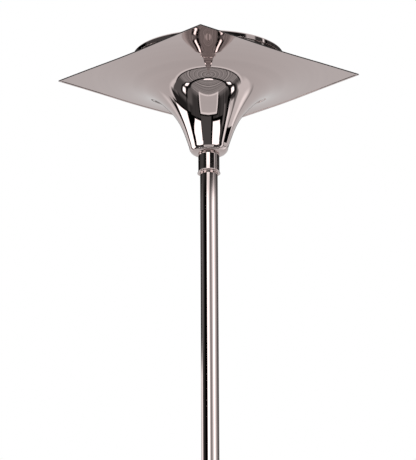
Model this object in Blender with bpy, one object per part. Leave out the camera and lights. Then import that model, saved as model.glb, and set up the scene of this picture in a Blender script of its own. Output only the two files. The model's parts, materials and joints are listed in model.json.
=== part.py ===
"""A garden torch of polished steel, with each sub-part as its own object.

It holds a lift-out fuel tank with a wick and a snuffer in a square trumpet-shaped canopy. The canopy is bolted to a
two-piece pole, and the pole slips over a ground stake. Sizes are in metres, with +Z up. The origin is on the pole's
axis at the ground line, which is the underside of the stake's foot plate.
"""

import math

import bmesh
import bpy
from mathutils import Euler, Vector

# Driving dimensions
CORNER_Z = 1.585  # underside of the canopy's corners above the ground line
CANOPY_SIDE = 0.310
SHEET = 0.0012  # thickness of the canopy's sheet
POLE_RADIUS = 0.0127
POLE_WALL = 0.0015
GAP = 0.0003  # between pieces that touch
SPIKE_DEPTH = 0.250  # how far the stake goes into the ground

# The trumpet's underside from its corners to the start of its foot: radius, and depth below the corners
FLARE = [
    (0.2260, -0.0001),
    (0.1870, 0.00045),
    (0.1550, 0.00185),
    (0.1220, 0.0070),
    (0.1000, 0.0142),
    (0.0790, 0.0266),
    (0.0620, 0.0425),
    (0.0470, 0.0615),
    (0.0372, 0.0810),
    (0.0310, 0.0985),
    (0.0283, 0.1068),
]
FOOT_ROUND = 0.0105  # radius with which the trumpet turns in under itself
FOOT_DEPTH = FLARE[-1][1] + FOOT_ROUND

# The bolt that holds the head together
BOLT_RADIUS = 0.0050
BOLT_HOLE = BOLT_RADIUS + GAP
BOLT_END_DEPTH = 0.150

# Ferrule between the canopy and the pole
FERRULE_RADIUS = 0.0153
FERRULE_LIP = 0.0167
FERRULE_TOP = -FOOT_DEPTH - GAP
FERRULE_END = 0.0080
FERRULE_BOTTOM = -0.1467
FERRULE_SCREW_DEPTH = 0.136

# Pole
POLE_BORE = POLE_RADIUS - POLE_WALL
SPIGOT_RADIUS = POLE_BORE - GAP
POLE_TOP_Z = CORNER_Z + FERRULE_TOP - FERRULE_END - GAP
PLUG_LENGTH = 0.060
COUPLER_Z = 0.804
COUPLER_BAND = 0.0080
COUPLER_REACH = 0.064
COUPLER_SCREW_OFFSET = 0.030

# Stake
PLATE_THICKNESS = 0.0040
STAKE_SPIGOT_RADIUS = 0.0095
STAKE_SPIGOT_TOP = 0.150
BUSH_FLANGE = 0.0030
BUSH_LENGTH = 0.0280
THUMB_Z = 0.062
THUMB_BOSS_END = 0.0185

# Fuel tank, with heights above the canopy's corners
TANK_RADIUS = 0.1085
TANK_WALL = 0.0009
TANK_RIM = 0.0312
TANK_FLOOR = -0.0065
WELL_FLOOR = -0.0880
LID_CENTRE = 0.0310
LID_EDGE = 0.0280
LID_SHEET = 0.0010
WICK_RADIUS = 0.0072
WICK_TOP = 0.0485
HOLDER_TOP = 0.0440
HOLDER_FLANGE_TOP = 0.0336
SNUFFER_CEILING = 0.0585
FILLER_X = 0.062
FILLER_NECK_TOP = 0.0415

THREAD_RADIUS = 0.0025  # of the small screws

FINE, MEDIUM, COARSE = 40, 24, 16  # sides of large, middling and small round pieces


def clear_scene():
    for item in list(bpy.data.objects):
        bpy.data.objects.remove(item, do_unlink=True)


def finish(name, colour, roughness, metallic):
    """A plain material: one Principled BSDF."""
    material = bpy.data.materials.new(name)
    material.use_nodes = True
    shader = material.node_tree.nodes["Principled BSDF"]
    shader.inputs["Base Color"].default_value = (*colour, 1.0)
    shader.inputs["Roughness"].default_value = roughness
    shader.inputs["Metallic"].default_value = metallic
    return material


# Outlines, as lists of (radius, height)


def arc(centre, radius, start, end, steps=4):
    """Points on an arc from one angle to another, in degrees."""
    points = []
    for step in range(steps + 1):
        angle = math.radians(start + (end - start) * step / steps)
        points.append((centre[0] + radius * math.cos(angle), centre[1] + radius * math.sin(angle)))
    return points


def beside(points, distance):
    """The same open curve moved sideways, to the right of its direction of travel."""
    moved = []
    for index, point in enumerate(points):
        before = Vector(points[max(index - 1, 0)])
        after = Vector(points[min(index + 1, len(points) - 1)])
        along = (after - before).normalized()
        moved.append((point[0] + along.y * distance, point[1] - along.x * distance))
    return moved


def height_on(curve, radius):
    """The curve's height at a radius."""
    for (outer, high), (inner, low) in zip(curve, curve[1:]):
        if inner <= radius <= outer:
            return low + (high - low) * (radius - inner) / (outer - inner)
    raise ValueError(radius)


# Solids


def new_object(name, mesh_data, material, at=(0, 0, 0), turn=(0, 0, 0)):
    mesh = bpy.data.meshes.new(name)
    bmesh.ops.recalc_face_normals(mesh_data, faces=mesh_data.faces)
    mesh_data.to_mesh(mesh)
    mesh_data.free()
    item = bpy.data.objects.new(name, mesh)
    bpy.context.scene.collection.objects.link(item)
    item.location = at
    item.rotation_euler = Euler([math.radians(angle) for angle in turn])
    mesh.shade_smooth()
    mesh.set_sharp_from_angle(angle=math.radians(35))
    mesh.materials.append(material)
    return item


def turned(name, section, material, sides=MEDIUM, at=(0, 0, 0), turn=(0, 0, 0)):
    """A solid turned about its own Z axis from a closed section of (radius, height) points."""
    shape = bmesh.new()
    corners = [shape.verts.new((radius, 0, height)) for radius, height in section]
    for start, end in zip(corners, corners[1:] + corners[:1]):
        if start.co.x > 0 or end.co.x > 0:
            shape.edges.new((start, end))
    bmesh.ops.spin(
        shape,
        geom=shape.verts[:] + shape.edges[:],
        axis=(0, 0, 1),
        cent=(0, 0, 0),
        steps=sides,
        angle=math.tau,
        use_merge=True,
    )
    bmesh.ops.remove_doubles(shape, verts=shape.verts, dist=1e-6)
    return new_object(name, shape, material, at, turn)


def tube(name, inner, outer, low, high, material, sides=MEDIUM, at=(0, 0, 0), turn=(0, 0, 0)):
    """A plain tube or ring with a small chamfer on its outer edges."""
    edge = min(0.0005, (outer - inner) / 3)
    section = [(inner, low), (outer - edge, low), (outer, low + edge), (outer, high - edge)]
    section += [(outer - edge, high), (inner, high)]
    return turned(name, section, material, sides, at, turn)


def rod(name, radius, low, high, material, sides=COARSE, at=(0, 0, 0), turn=(0, 0, 0)):
    return turned(name, [(0, low), (radius, low), (radius, high), (0, high)], material, sides, at, turn)


def prism(name, outline, low, high, material, at=(0, 0, 0), turn=(0, 0, 0)):
    """A flat outline of (x, y) points, raised from one height to another."""
    shape = bmesh.new()
    base = shape.faces.new([shape.verts.new((x, y, low)) for x, y in outline])
    raised = bmesh.ops.extrude_face_region(shape, geom=[base])["geom"]
    top = [part for part in raised if isinstance(part, bmesh.types.BMVert)]
    bmesh.ops.translate(shape, verts=top, vec=(0, 0, high - low))
    return new_object(name, shape, material, at, turn)


def hexagon(across_flats):
    return [point for point in arc((0, 0), across_flats / math.sqrt(3), 0, 300, 5)]


def fluted(radius, flutes, depth):
    """A round outline with shallow grip flutes."""
    points = []
    for step in range(flutes * 4):
        angle = math.tau * step / (flutes * 4)
        reach = radius - depth * (1 - math.cos(flutes * angle)) / 2
        points.append((reach * math.cos(angle), reach * math.sin(angle)))
    return points


def combine(item, tool, operation):
    """Cuts the tool from the item, joins it on, or keeps what they share. The tool isn't part of the object."""
    modifier = item.modifiers.new(operation.title(), "BOOLEAN")
    modifier.object = tool
    modifier.operation = operation
    tool.hide_render = True
    tool.display_type = "WIRE"


# The outlines that several pieces share
UNDERSIDE = [(radius, -depth) for radius, depth in FLARE]
UNDERSIDE += arc((FLARE[-1][0] - FOOT_ROUND, -FLARE[-1][1]), FOOT_ROUND, 0, -90)[1:]
UPPER_SIDE = beside(UNDERSIDE, SHEET)


def make_canopy(steel):
    """A spun trumpet of sheet, trimmed square, with a bolt hole in its foot."""
    floor_hole = BOLT_HOLE + GAP
    section = [*UNDERSIDE, (floor_hole, -FOOT_DEPTH), (floor_hole, SHEET - FOOT_DEPTH), *reversed(UPPER_SIDE)]
    canopy = turned("canopy", section, steel, FINE, at=(0, 0, CORNER_Z))
    half = CANOPY_SIDE / 2
    square = [(-half, -half), (half, -half), (half, half), (-half, half)]
    trimmer = prism("canopy_trimmer", square, -0.2, 0.1, steel, at=(0, 0, CORNER_Z))
    combine(canopy, trimmer, "INTERSECT")


def make_head_joint(steel, polished):
    """Bolt, washer and ferrule, which hold the canopy on the pole's top plug."""
    washer_top = SHEET - FOOT_DEPTH + GAP + 0.0020
    tube("head_washer", BOLT_HOLE, 0.0125, washer_top - 0.0020, washer_top, steel, at=(0, 0, CORNER_Z))
    head_bottom = washer_top + GAP
    bolt = prism("head_bolt", hexagon(0.017), head_bottom, head_bottom + 0.0064, steel, at=(0, 0, CORNER_Z))
    shank = rod("head_bolt_shank", BOLT_RADIUS, -BOLT_END_DEPTH, head_bottom + 0.0030, steel, at=(0, 0, CORNER_Z))
    combine(bolt, shank, "UNION")

    socket = POLE_RADIUS + GAP
    section = [(BOLT_HOLE, FERRULE_TOP), (FERRULE_RADIUS - 0.0006, FERRULE_TOP)]
    section += [(FERRULE_RADIUS, FERRULE_TOP - 0.0006), (FERRULE_RADIUS, FERRULE_BOTTOM + 0.0050)]
    section += [(FERRULE_RADIUS + 0.0003, FERRULE_BOTTOM + 0.0026), (FERRULE_LIP, FERRULE_BOTTOM + 0.0006)]
    section += [(FERRULE_LIP - 0.0002, FERRULE_BOTTOM), (socket + 0.0010, FERRULE_BOTTOM)]
    section += [(socket, FERRULE_BOTTOM + 0.0012), (socket, FERRULE_TOP - FERRULE_END)]
    section += [(BOLT_HOLE, FERRULE_TOP - FERRULE_END)]
    ferrule = turned("ferrule", section, polished, at=(0, 0, CORNER_Z))

    top_plug = turned(
        "pole_top_plug",
        [
            (BOLT_HOLE, -GAP),
            (SPIGOT_RADIUS, -GAP),
            (SPIGOT_RADIUS, 0.001 - PLUG_LENGTH),
            (SPIGOT_RADIUS - 0.001, -PLUG_LENGTH),
            (0, -PLUG_LENGTH),
            (0, -0.030),
            (BOLT_HOLE, -0.027),
        ],
        steel,
        at=(0, 0, POLE_TOP_Z),
    )
    return ferrule, top_plug


def make_ferrule_screws(steel, ferrule, top_plug, pole_upper):
    """Two grub screws at the back lock ferrule, pole and plug together."""
    screw_z = CORNER_Z - FERRULE_SCREW_DEPTH
    inner, outer = SPIGOT_RADIUS - 0.0012, FERRULE_RADIUS - 0.0003
    for side, angle in (("right", 0), ("back", 90)):
        place = {"at": (0, 0, screw_z), "turn": (0, 90, angle)}
        screw = rod(f"ferrule_screw_{side}", THREAD_RADIUS, inner, outer, steel, **place)
        socket = prism(f"ferrule_screw_{side}_socket", hexagon(0.0025), outer - 0.0018, outer + 0.001, steel, **place)
        combine(screw, socket, "DIFFERENCE")
        hole = rod(f"ferrule_hole_{side}", THREAD_RADIUS + GAP, inner - GAP, 0.020, steel, **place)
        for pierced in (ferrule, top_plug, pole_upper):
            combine(pierced, hole, "DIFFERENCE")


def make_pole(polished, steel):
    """Two tubes on a coupler with a band between them, and the two screws that hold them."""
    upper_low = COUPLER_Z + COUPLER_BAND / 2 + GAP
    pole_upper = tube("pole_upper", POLE_BORE, POLE_RADIUS, upper_low, POLE_TOP_Z, polished)
    lower_low = PLATE_THICKNESS + BUSH_FLANGE + 2 * GAP
    lower_high = COUPLER_Z - COUPLER_BAND / 2 - GAP
    pole_lower = tube("pole_lower", POLE_BORE, POLE_RADIUS, lower_low, lower_high, polished)

    band = COUPLER_BAND / 2
    half = [(0, COUPLER_REACH), (SPIGOT_RADIUS - 0.001, COUPLER_REACH), (SPIGOT_RADIUS, COUPLER_REACH - 0.001)]
    half += [(SPIGOT_RADIUS, band), (POLE_RADIUS - 0.0005, band), (POLE_RADIUS, band - 0.0005)]
    mirrored = [(radius, -height) for radius, height in reversed(half)]
    coupler = turned("pole_coupler", half + mirrored, steel, at=(0, 0, COUPLER_Z))
    for name, tube_piece, offset in (
        ("upper", pole_upper, COUPLER_SCREW_OFFSET),
        ("lower", pole_lower, -COUPLER_SCREW_OFFSET),
    ):
        place = {"at": (0, 0, COUPLER_Z + offset), "turn": (-90, 0, 0)}
        under_head = POLE_RADIUS + GAP
        dome = arc((0, under_head - 0.0022), 0.0046, 28.6, 80, 3)
        section = [(0, 0.0045), (0.0022, 0.0045), (0.0022, under_head), (0.0045, under_head), *dome[1:]]
        turned(f"coupler_screw_{name}", [*section, (0, dome[-1][1])], steel, COARSE, **place)
        hole = rod(f"coupler_hole_{name}", 0.0025, 0.0040, 0.020, steel, **place)
        combine(tube_piece, hole, "DIFFERENCE")
        combine(coupler, hole, "DIFFERENCE")
    return pole_upper, pole_lower


def make_stake(steel, nylon):
    """Spike, foot plate and spigot, with the bush that the pole stands on."""
    stud_top = 0.020
    rounded = POLE_RADIUS * 2
    ends = arc((0.034, 0), rounded * 0.9, -90, 90, 8) + arc((-0.034, 0), rounded * 0.9, 90, 270, 8)
    plate = prism("foot_plate", ends, 0, PLATE_THICKNESS, steel)
    plate_hole = rod("foot_plate_hole", BOLT_HOLE, -0.01, 0.02, steel)
    combine(plate, plate_hole, "DIFFERENCE")

    section = [(0, stud_top), (BOLT_RADIUS - 0.001, stud_top), (BOLT_RADIUS, stud_top - 0.001)]
    section += [(BOLT_RADIUS, 0.040 - SPIKE_DEPTH), (0, -SPIKE_DEPTH)]
    turned("stake_spike", section, steel, COARSE)

    bottom, top = PLATE_THICKNESS + GAP, STAKE_SPIGOT_TOP
    section = [(BOLT_HOLE, bottom), (STAKE_SPIGOT_RADIUS, bottom), (STAKE_SPIGOT_RADIUS, top - 0.004)]
    section += [(STAKE_SPIGOT_RADIUS - 0.003, top), (0, top), (0, stud_top + 0.004), (BOLT_HOLE, stud_top + 0.002)]
    turned("stake_spigot", section, steel)

    bore, flange_top = STAKE_SPIGOT_RADIUS + GAP, bottom + BUSH_FLANGE
    section = [(bore, bottom), (POLE_RADIUS, bottom), (POLE_RADIUS, flange_top), (SPIGOT_RADIUS, flange_top)]
    section += [(SPIGOT_RADIUS, bottom + BUSH_LENGTH), (bore, bottom + BUSH_LENGTH)]
    turned("pole_end_bush", section, nylon)


def make_thumb_screw(steel, nylon, pole_lower):
    """A boss on the pole, a thumb screw through it, and the pad on its end that bears on the stake's spigot."""
    place = {"at": (0, 0, THUMB_Z), "turn": (0, 90, 0)}
    hole_radius = THREAD_RADIUS + GAP
    boss = tube("thumb_boss", hole_radius, 0.0065, 0.008, THUMB_BOSS_END, steel, **place)
    saddle = rod("thumb_boss_saddle", POLE_RADIUS + GAP, -0.02, 0.02, steel, MEDIUM, at=(0, 0, THUMB_Z))
    combine(boss, saddle, "DIFFERENCE")
    hole = rod("thumb_hole", hole_radius, 0.006, 0.020, steel, **place)
    combine(pole_lower, hole, "DIFFERENCE")

    pad_low = STAKE_SPIGOT_RADIUS + GAP
    pad_high = pad_low + 0.0016
    shank_end = THUMB_BOSS_END + 0.0060
    rod("thumb_pad", THREAD_RADIUS - GAP, pad_low, pad_high, nylon, **place)
    rod("thumb_screw", THREAD_RADIUS, pad_high + GAP, shank_end, steel, **place)
    knob_low, knob_high = THUMB_BOSS_END + 0.0010, THUMB_BOSS_END + 0.0095
    knob = prism("thumb_knob", fluted(0.0100, 8, 0.0014), knob_low, knob_high, nylon, **place)
    pocket = rod("thumb_knob_pocket", hole_radius, 0.0, shank_end + GAP, nylon, **place)
    combine(knob, pocket, "DIFFERENCE")


def make_tank(polished, steel, rubber):
    """Tank with its well, the lid crimped over its rim, and the ring that it rests on in the canopy."""
    place = {"at": (0, 0, CORNER_Z)}
    outside = [(TANK_RADIUS, TANK_RIM)]
    outside += arc((TANK_RADIUS - 0.006, TANK_FLOOR + 0.006), 0.006, 0, -90, 3)
    outside += arc((0.049, TANK_FLOOR - 0.006), 0.006, 90, 165, 2)
    outside += arc((0.0220, WELL_FLOOR + 0.008), 0.008, -10, -90, 3)
    outside += [(0, WELL_FLOOR)]
    inside = beside(outside, TANK_WALL)
    inside[0] = (TANK_RADIUS - TANK_WALL, TANK_RIM)
    inside[-1] = (0, WELL_FLOOR + TANK_WALL)
    turned("fuel_tank", [*outside, *reversed(inside)], polished, FINE, **place)

    rim_top = 0.0340
    rim_wall = 0.0010
    outer = TANK_RADIUS + 0.0005 + rim_wall
    inner = outer - 0.0055
    section = [(0.0093, LID_CENTRE - LID_SHEET), (inner - 0.004, LID_EDGE - LID_SHEET), (inner, LID_EDGE)]
    section += [(inner, TANK_RIM + GAP), (outer - rim_wall, TANK_RIM + GAP), (outer - rim_wall, 0.0265)]
    section += [(outer, 0.0265), *arc((outer - 0.0018, rim_top - 0.0018), 0.0018, 0, 90, 2)]
    section += [*arc((inner + 0.0008, rim_top - 0.0018), 0.0018, 90, 180, 2)]
    section += [(inner - rim_wall, LID_EDGE + 0.0012), (inner - 0.004, LID_EDGE), (0.0093, LID_CENTRE)]
    lid = turned("tank_lid", section, polished, FINE, **place)
    filler_hole = rod("lid_filler_hole", 0.0105, 0.0, 0.06, steel, MEDIUM, at=(FILLER_X, 0, CORNER_Z))
    combine(lid, filler_hole, "DIFFERENCE")

    seat_top = TANK_FLOOR - GAP
    radii = (0.1040, 0.1010, 0.0980)
    section = [(radius, height_on(UPPER_SIDE, radius) + GAP) for radius in radii]
    turned("seat_ring", [*section, (radii[-1], seat_top), (radii[0], seat_top)], rubber, FINE, **place)


def make_wick(steel, polished, fibre):
    """Holder through the lid, its nut under the lid, and the wick in it."""
    place = {"at": (0, 0, CORNER_Z)}
    bore, stem, tip = WICK_RADIUS + GAP, 0.0090, 0.0100
    flange_low = LID_CENTRE + GAP
    section = [(bore, 0.0180), (stem, 0.0180), (stem, flange_low), (0.0165, flange_low)]
    section += [(0.0165, HOLDER_FLANGE_TOP - 0.0005), (0.0160, HOLDER_FLANGE_TOP), (tip, HOLDER_FLANGE_TOP)]
    section += [(tip, HOLDER_TOP - 0.0005), (tip - 0.0005, HOLDER_TOP), (bore, HOLDER_TOP)]
    turned("wick_holder", section, polished, **place)

    nut_top = LID_CENTRE - LID_SHEET - GAP
    nut = prism("wick_nut", hexagon(0.026), nut_top - 0.0040, nut_top, steel, **place)
    nut_hole = rod("wick_nut_hole", stem + GAP, 0.0, 0.06, steel, MEDIUM, **place)
    combine(nut, nut_hole, "DIFFERENCE")

    section = [(0, -0.0780), (WICK_RADIUS, -0.0780), (WICK_RADIUS, WICK_TOP - 0.0015)]
    turned("wick", [*section, (WICK_RADIUS - 0.0015, WICK_TOP), (0, WICK_TOP)], fibre, MEDIUM, **place)


def make_snuffer(polished):
    """The cap that puts the flame out, and its knob."""
    place = {"at": (0, 0, CORNER_Z)}
    inside, wall, stem = 0.0125, 0.0012, 0.0018
    low, roof = HOLDER_FLANGE_TOP + GAP, SNUFFER_CEILING + 0.0016
    section = [(stem + GAP, SNUFFER_CEILING), (inside - 0.002, SNUFFER_CEILING), (inside, SNUFFER_CEILING - 0.002)]
    section += [(inside, low), (inside + wall, low)]
    section += arc((inside + wall - 0.004, roof - 0.004), 0.004, 0, 90, 3)
    turned("snuffer_cap", [*section, (stem + GAP, roof)], polished, **place)

    peen = SNUFFER_CEILING - 0.0008
    section = [(0, peen), (0.0030, peen), (0.0030, SNUFFER_CEILING - GAP), (stem, SNUFFER_CEILING - GAP)]
    section += [(stem, roof + GAP), (0.0042, roof + GAP), (0.0026, roof + 0.0020)]
    section += arc((0, roof + 0.0044), 0.0032, -30, 80, 4)
    turned("snuffer_knob", [*section, (0, section[-1][1])], polished, COARSE, **place)


def make_filler(steel, nylon, rubber):
    """Neck through the lid, the seal on it, and the screw cap."""
    place = {"at": (FILLER_X, 0, CORNER_Z)}
    bore, neck = 0.0080, 0.0102
    section = [(bore, 0.0225), (neck, 0.0225), (neck, 0.0300), (0.0140, 0.0300), (0.0140, 0.0316)]
    section += [(neck, 0.0316), (neck, FILLER_NECK_TOP), (bore, FILLER_NECK_TOP)]
    turned("filler_neck", section, steel, **place)
    seal_low, seal_high = FILLER_NECK_TOP + GAP, FILLER_NECK_TOP + GAP + 0.0015
    rod("filler_seal", 0.0100, seal_low, seal_high, rubber, MEDIUM, **place)
    cap = prism("filler_cap", fluted(0.0135, 12, 0.0008), 0.0325, seal_high + GAP + 0.0018, nylon, **place)
    pocket = rod("filler_cap_pocket", 0.0108, 0.0, seal_high + GAP, nylon, MEDIUM, **place)
    combine(cap, pocket, "DIFFERENCE")


def main():
    clear_scene()
    polished = finish("mirror_polished_steel", (0.80, 0.77, 0.76), 0.04, 1.0)
    steel = finish("bright_steel", (0.55, 0.54, 0.53), 0.30, 1.0)
    rubber = finish("black_rubber", (0.02, 0.02, 0.02), 0.75, 0.0)
    nylon = finish("black_nylon", (0.03, 0.03, 0.03), 0.45, 0.0)
    fibre = finish("glass_fibre", (0.82, 0.79, 0.71), 0.90, 0.0)

    make_canopy(polished)
    ferrule, top_plug = make_head_joint(steel, polished)
    pole_upper, pole_lower = make_pole(polished, steel)
    make_ferrule_screws(steel, ferrule, top_plug, pole_upper)
    make_stake(steel, nylon)
    make_thumb_screw(steel, nylon, pole_lower)
    make_tank(polished, steel, rubber)
    make_wick(steel, polished, fibre)
    make_snuffer(polished)
    make_filler(steel, nylon, rubber)


main()
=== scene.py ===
# %% [markdown]
# # A polished garden torch
#
# This lesson dresses the working model of a garden torch. Its frame already has every piece at its real
# size and place, with its joints. Here each piece that shows is modelled again with finer edges, gets its
# own finish, and rides on the body that it belongs to. The torch is mirror-polished steel, so most of what
# the eye reads as shape is a reflection: the surroundings are built with as much care as the metal.

# %% Load the frame
import json
import math

import bmesh
import bpy
import numpy as np
from mathutils import Matrix, Vector

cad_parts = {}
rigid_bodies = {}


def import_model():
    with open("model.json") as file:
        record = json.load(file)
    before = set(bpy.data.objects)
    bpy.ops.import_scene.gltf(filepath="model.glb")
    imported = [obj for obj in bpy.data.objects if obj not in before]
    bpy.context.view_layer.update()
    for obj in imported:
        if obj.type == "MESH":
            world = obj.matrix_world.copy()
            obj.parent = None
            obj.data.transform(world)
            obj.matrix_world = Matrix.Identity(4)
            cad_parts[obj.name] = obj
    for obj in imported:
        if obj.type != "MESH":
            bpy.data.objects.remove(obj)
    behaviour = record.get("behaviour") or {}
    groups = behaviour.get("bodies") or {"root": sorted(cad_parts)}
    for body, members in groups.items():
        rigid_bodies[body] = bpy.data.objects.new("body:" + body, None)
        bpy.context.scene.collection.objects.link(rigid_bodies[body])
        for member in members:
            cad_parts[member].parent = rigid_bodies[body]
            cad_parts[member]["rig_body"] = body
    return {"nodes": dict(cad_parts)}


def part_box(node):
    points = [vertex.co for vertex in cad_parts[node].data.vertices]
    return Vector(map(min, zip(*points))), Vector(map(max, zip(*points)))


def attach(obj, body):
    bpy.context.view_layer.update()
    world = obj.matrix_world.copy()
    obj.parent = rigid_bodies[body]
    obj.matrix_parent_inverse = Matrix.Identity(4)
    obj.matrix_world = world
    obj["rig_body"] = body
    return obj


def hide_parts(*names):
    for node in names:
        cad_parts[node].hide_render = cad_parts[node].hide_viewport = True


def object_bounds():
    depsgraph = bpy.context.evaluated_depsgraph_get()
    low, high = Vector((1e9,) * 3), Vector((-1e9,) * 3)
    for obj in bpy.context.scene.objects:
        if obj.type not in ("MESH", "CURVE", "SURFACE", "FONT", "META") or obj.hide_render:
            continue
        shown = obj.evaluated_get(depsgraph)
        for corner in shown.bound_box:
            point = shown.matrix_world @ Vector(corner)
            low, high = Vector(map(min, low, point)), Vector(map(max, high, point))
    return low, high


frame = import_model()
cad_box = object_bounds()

scene = bpy.context.scene

# %% [markdown]
# ## The camera
#
# The torch stands taller than a person and is seen from below, so the camera looks up at the canopy with a
# long lens from a few steps away. A long lens keeps the pole's sides almost parallel. The aim is worked out
# from the canopy's corners, and the small roll is the lean of a camera held by hand.

# %% Camera
CAMERA_AZIMUTH = math.radians(-42.2)
CAMERA_RISE = math.radians(16.95)
CAMERA_DISTANCE = 4.5
CAMERA_ROLL = math.radians(-0.3)
AIM_BELOW_CANOPY = 0.2327
AIM_ASIDE = 0.0017
LENS = 245.4
FARTHEST_SEEN = 200

canopy_low, canopy_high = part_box("canopy")
aim = Vector((0, 0, canopy_high.z - AIM_BELOW_CANOPY))
level = math.cos(CAMERA_RISE)
towards_camera = Vector(
    (math.sin(CAMERA_AZIMUTH) * level, -math.cos(CAMERA_AZIMUTH) * level, -math.sin(CAMERA_RISE))
)
turn = towards_camera.to_track_quat("Z", "Y").to_matrix().to_4x4() @ Matrix.Rotation(CAMERA_ROLL, 4, "Z")
aim -= turn.to_3x3() @ Vector((AIM_ASIDE, 0, 0))
camera = bpy.data.objects.new("camera", bpy.data.cameras.new("camera"))
scene.collection.objects.link(camera)
camera.matrix_world = Matrix.Translation(aim + towards_camera * CAMERA_DISTANCE) @ turn
camera.data.lens = LENS
camera.data.clip_end = FARTHEST_SEEN
scene.camera = camera
scene.view_settings.view_transform = "Standard"
print("camera at", [round(v, 2) for v in camera.matrix_world.translation])

# %% [markdown]
# ## The surroundings
#
# A mirror has no look of its own: it shows the room. This room is dark, with a pale sweep on the far side,
# banks of soft panels left, right and in front, and dark gaps between them. Real walls and panels would
# stand in the way of a camera that walks round, so the room is painted on the world instead, by direction.
# Only reflections see it: the camera itself sees plain white. The panels are set for the camera's first
# place, so from elsewhere the steel shows just broad dark and pale bands. Azimuth 0 is towards that place
# and grows to its right; elevation is above the horizon. Greys are given as they should look in the steel,
# from 0 to 255, and are turned into light at the very end.

# %% Small helpers for nodes
# The warm pink cast of the steel's colour is painted reflection colour: the tint of the room that the steel
# reflects.
STEEL_RED, STEEL_GREEN, STEEL_BLUE = 0.66, 0.56, 0.545


def node(tree, kind, **settings):
    """Adds a node. Settings name its properties, or its inputs with spaces as underscores."""
    made = tree.nodes.new("ShaderNode" + kind)
    for name, value in settings.items():
        if hasattr(made, name):
            setattr(made, name, value)
        else:
            feed(tree, made.inputs[name.replace("_", " ")], value)
    return made


def feed(tree, socket, value):
    """Links a socket to another, or gives it a plain value."""
    if isinstance(value, bpy.types.NodeSocket):
        tree.links.new(value, socket)
    else:
        socket.default_value = value


def calculate(tree, operation, *values, clamp=False):
    made = tree.nodes.new("ShaderNodeMath")
    made.operation = operation
    made.use_clamp = clamp
    for socket, value in zip(made.inputs, values):
        feed(tree, socket, value)
    return made.outputs[0]


def step_between(tree, value, low, high):
    """0 below low, 1 above high, and a smooth rise between."""
    made = node(tree, "MapRange", interpolation_type="SMOOTHSTEP", Value=value, From_Min=low, From_Max=high)
    return made.outputs[0]


def blend(tree, share, first, second):
    made = node(tree, "Mix", data_type="FLOAT")
    for index, value in enumerate((share, None, first, second)):
        if value is not None:
            feed(tree, made.inputs[index], value)
    return made.outputs[0]


def new_group(name, inputs, outputs):
    """An empty shader node group. Inputs are name: default, a number or three of them."""
    group = bpy.data.node_groups.new(name, "ShaderNodeTree")
    for label, default in inputs.items():
        kind = "NodeSocketVector" if isinstance(default, tuple) else "NodeSocketFloat"
        group.interface.new_socket(label, in_out="INPUT", socket_type=kind).default_value = default
    for label in outputs:
        group.interface.new_socket(label, in_out="OUTPUT", socket_type="NodeSocketFloat")
    return group, group.nodes.new("NodeGroupInput").outputs, group.nodes.new("NodeGroupOutput").inputs


def place(tree, group, **values):
    made = tree.nodes.new("ShaderNodeGroup")
    made.node_tree = group
    for name, value in values.items():
        feed(tree, made.inputs[name.replace("_", " ")], value)
    return made.outputs


# %% One soft panel, as a node group
panel_inputs = {"Azimuth": 0.0, "Elevation": 0.0, "Middle": 0.0, "Half Width": 10.0}
panel_inputs |= {"Height": 0.0, "Half Height": 10.0, "Edge": 1.0, "Soft": 1.0, "Lean": 0.0, "Tilt": 0.0}
soft_panel, given, result = new_group("soft panel", panel_inputs, ["Mask"])
aside = calculate(soft_panel, "SUBTRACT", given["Azimuth"], given["Middle"])
aside = calculate(soft_panel, "WRAP", aside, 180.0, -180.0)
above = calculate(soft_panel, "SUBTRACT", given["Elevation"], given["Height"])
inside = []
for offset, other, slope, half, edge in (
    (aside, above, given["Lean"], given["Half Width"], given["Edge"]),
    (above, aside, given["Tilt"], given["Half Height"], given["Soft"]),
):
    offset = calculate(soft_panel, "SUBTRACT", offset, calculate(soft_panel, "MULTIPLY", other, slope))
    depth = calculate(soft_panel, "SUBTRACT", half, calculate(soft_panel, "ABSOLUTE", offset))
    inside.append(calculate(soft_panel, "DIVIDE", depth, edge, clamp=True))
soft_panel.links.new(calculate(soft_panel, "MULTIPLY", *inside), result["Mask"])

# %% The room's directions
studio = bpy.data.worlds.new("studio")
studio.use_nodes = True
scene.world = studio
room = studio.node_tree
room.nodes.clear()
towards = node(room, "TexCoord").outputs["Generated"]
turned_room = node(room, "Mapping", vector_type="VECTOR", Vector=towards, Rotation=(0, 0, -CAMERA_AZIMUTH))
right, far, up = node(room, "SeparateXYZ", Vector=turned_room.outputs[0]).outputs
near = calculate(room, "MULTIPLY", far, -1.0)
azimuth = calculate(room, "DEGREES", calculate(room, "ARCTAN2", right, near))
elevation = calculate(room, "DEGREES", calculate(room, "ARCSINE", up))


def hang(grey_so_far, grey, left, right_end, bottom, top, **shape):
    """Hangs a soft panel between two azimuths and two elevations, in front of what is there."""
    middle, half_width = (left + right_end) / 2, (right_end - left) / 2
    height, half_height = (bottom + top) / 2, (top - bottom) / 2
    where = {"Azimuth": azimuth, "Elevation": elevation, "Middle": middle, "Half Width": half_width}
    where |= {"Height": height, "Half Height": half_height}
    where |= {name.title(): value for name, value in shape.items()}
    return blend(room, place(room, soft_panel, **where)["Mask"], grey_so_far, grey)


def noise_along(value, scale, low, span):
    """Soft streaks across one direction, from low to low + span."""
    noise = node(room, "TexNoise", noise_dimensions="1D", W=value, Scale=scale, Detail=3.0).outputs[0]
    return calculate(room, "MULTIPLY_ADD", noise, span, low)


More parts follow.
